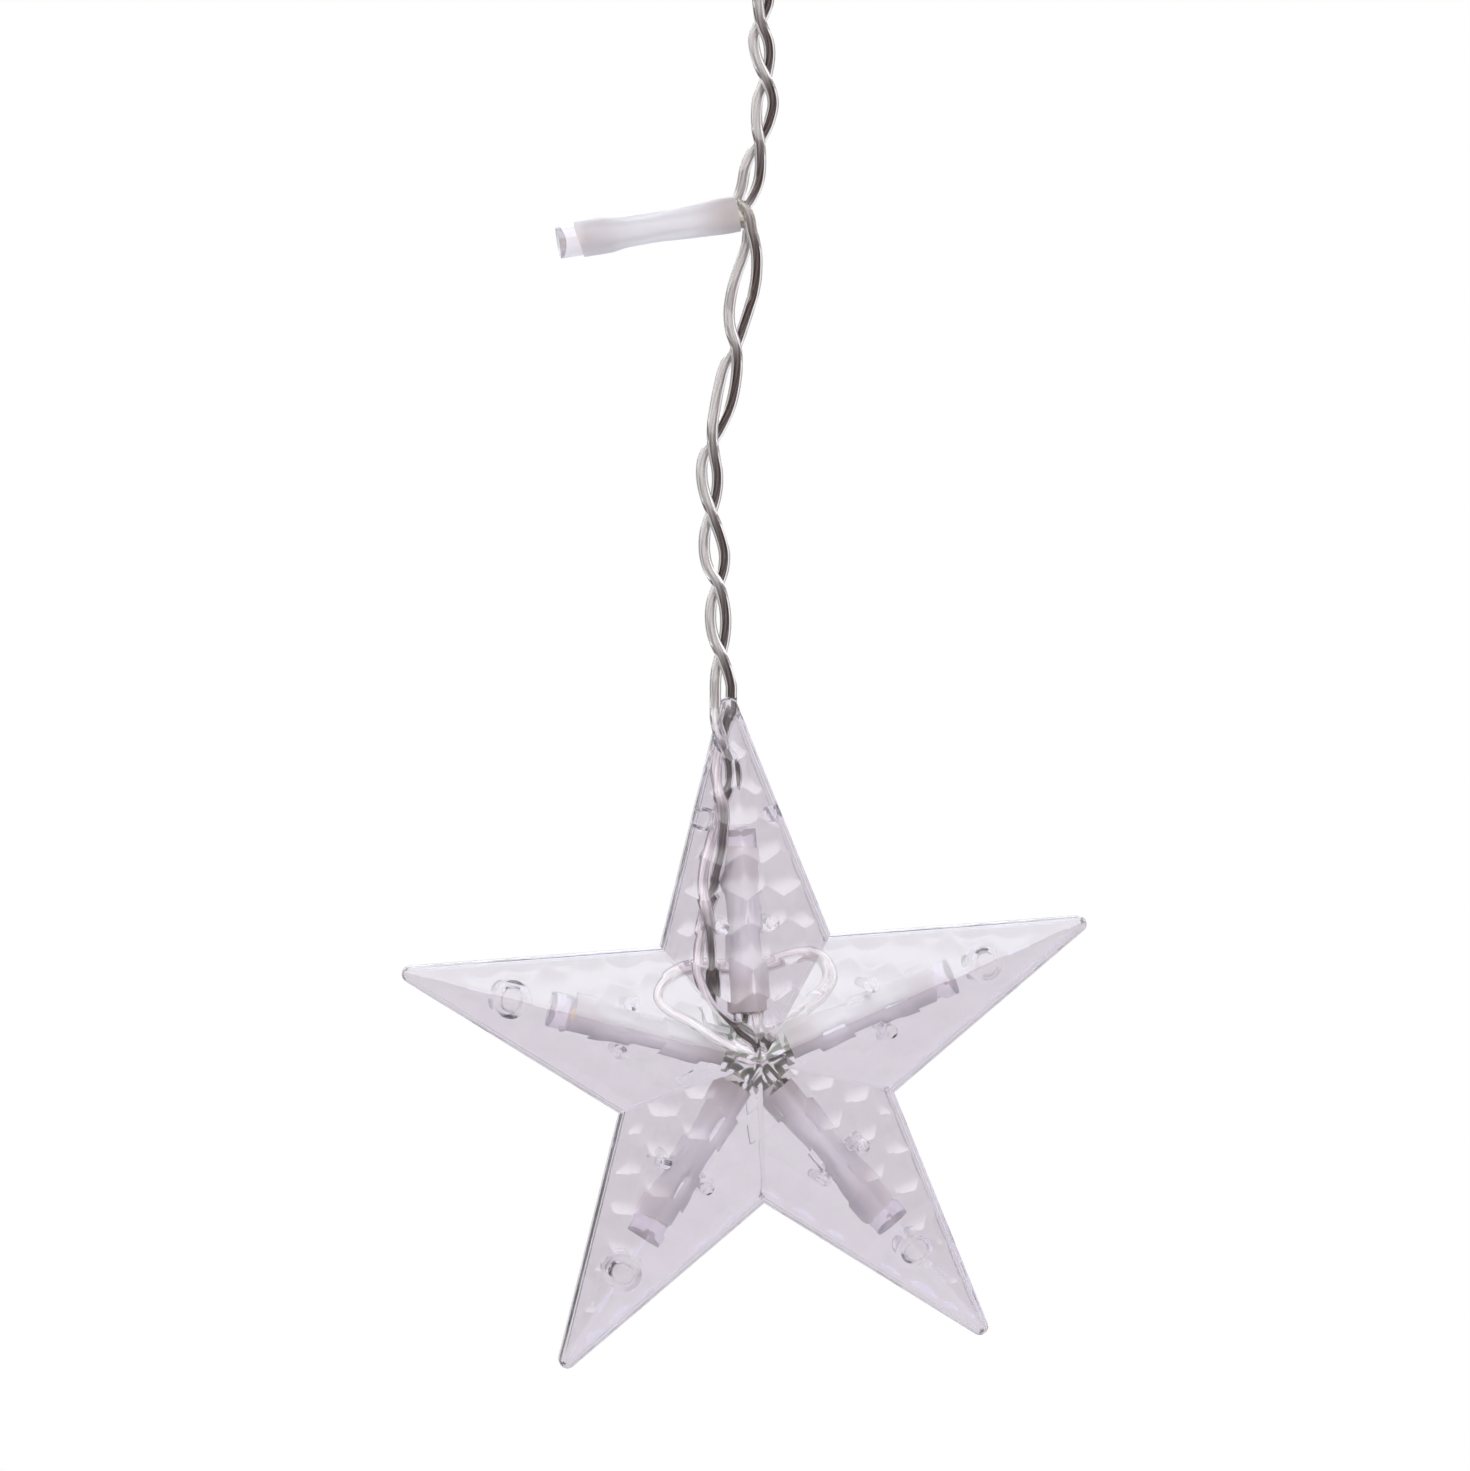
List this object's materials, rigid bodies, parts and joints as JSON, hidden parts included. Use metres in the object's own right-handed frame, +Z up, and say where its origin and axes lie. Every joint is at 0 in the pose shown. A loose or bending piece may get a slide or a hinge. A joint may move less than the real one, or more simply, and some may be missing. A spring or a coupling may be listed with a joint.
{
  "type": "star icicle light",
  "caption": "Clear hollow star of snapped half shells with LED lamps inside, hanging on twisted clear wires with a side lamp and a plug-in connector.",
  "frame": {"origin": "top of the connector's hanging eye, inside, where a hook bears", "axes": "+Z up, +X to the viewer's right along the connector's socket, -Y towards the viewer who faces the star"},
  "size_m": [0.0986, 0.026, 0.2249],
  "materials": {
    "clear_shell": "clear moulded polystyrene, dimpled inside",
    "wire_insulation": "clear soft vinyl over a fine stranded conductor",
    "shrink_sleeve": "milky shrink tube, slightly wrinkled",
    "led_epoxy": "clear cast epoxy",
    "seal_compound": "cloudy sealing compound",
    "tinned_lead": "tinned steel wire",
    "connector_moulding": "clear to milky moulded plastic",
    "boot_rubber": "soft translucent moulding",
    "seal_rubber": "smooth rubber",
    "contact_brass": "bright turned pin"
  },
  "bodies": {
    "connector": {"connector_body": "connector_moulding", "connector_seal_ring": "seal_rubber", "strain_relief_boot": "boot_rubber", "supply_contact_pin": "contact_brass", "return_contact_pin": "contact_brass"},
    "upper_drop": {"supply_wire_upper": "wire_insulation", "return_wire_upper": "wire_insulation", "supply_wire_middle": "wire_insulation", "return_wire_middle": "wire_insulation"},
    "drop_lamp": {"drop_lamp_sleeve": "shrink_sleeve", "drop_lamp_lens": "led_epoxy", "drop_lamp_seal": "seal_compound", "drop_lamp_anode_lead": "tinned_lead", "drop_lamp_cathode_lead": "tinned_lead"},
    "lower_drop": {"supply_wire_lower": "wire_insulation", "return_wire_lower": "wire_insulation"},
    "star": {"front_shell": "clear_shell", "rear_shell": "clear_shell", "supply_wire_star": "wire_insulation", "return_wire_star": "wire_insulation", "slack_wire": "wire_insulation", "left_lamp_to_lower_left_lamp_link": "wire_insulation", "lower_left_lamp_to_lower_right_lamp_link": "wire_insulation", "lower_right_lamp_to_right_lamp_link": "wire_insulation", "top_lamp_sleeve": "shrink_sleeve", "top_lamp_lens": "led_epoxy", "top_lamp_seal": "seal_compound", "top_lamp_anode_lead": "tinned_lead", "top_lamp_cathode_lead": "tinned_lead", "left_lamp_sleeve": "shrink_sleeve", "left_lamp_lens": "led_epoxy", "left_lamp_seal": "seal_compound", "left_lamp_anode_lead": "tinned_lead", "left_lamp_cathode_lead": "tinned_lead", "lower_left_lamp_sleeve": "shrink_sleeve", "lower_left_lamp_lens": "led_epoxy", "lower_left_lamp_seal": "seal_compound", "lower_left_lamp_anode_lead": "tinned_lead", "lower_left_lamp_cathode_lead": "tinned_lead", "lower_right_lamp_sleeve": "shrink_sleeve", "lower_right_lamp_lens": "led_epoxy", "lower_right_lamp_seal": "seal_compound", "lower_right_lamp_anode_lead": "tinned_lead", "lower_right_lamp_cathode_lead": "tinned_lead", "right_lamp_sleeve": "shrink_sleeve", "right_lamp_lens": "led_epoxy", "right_lamp_seal": "seal_compound", "right_lamp_anode_lead": "tinned_lead", "right_lamp_cathode_lead": "tinned_lead"}
  },
  "joints": [
    {"name": "drop_side_swing", "type": "hinge", "parent": "connector", "child": "upper_drop", "pos_m": [0, 0, -0.0222], "axis": [0, 1, 0], "range_deg": [-30, 30]},
    {"name": "drop_lamp_swing", "type": "hinge", "parent": "upper_drop", "child": "drop_lamp", "pos_m": [-0.0026, 0, -0.0561], "axis": [0, 0, 1], "range_deg": [-35, 35], "stiffness_Nm_per_rad": 0.0005},
    {"name": "drop_fore_aft_swing", "type": "hinge", "parent": "upper_drop", "child": "lower_drop", "pos_m": [0, 0, -0.06785], "axis": [1, 0, 0], "range_deg": [-25, 25]},
    {"name": "star_twist", "type": "hinge", "parent": "lower_drop", "child": "star", "pos_m": [-0.00605, 0, -0.12665], "axis": [0, 0, 1], "range_deg": [-90, 90], "stiffness_Nm_per_rad": 0.0005}
  ]
}
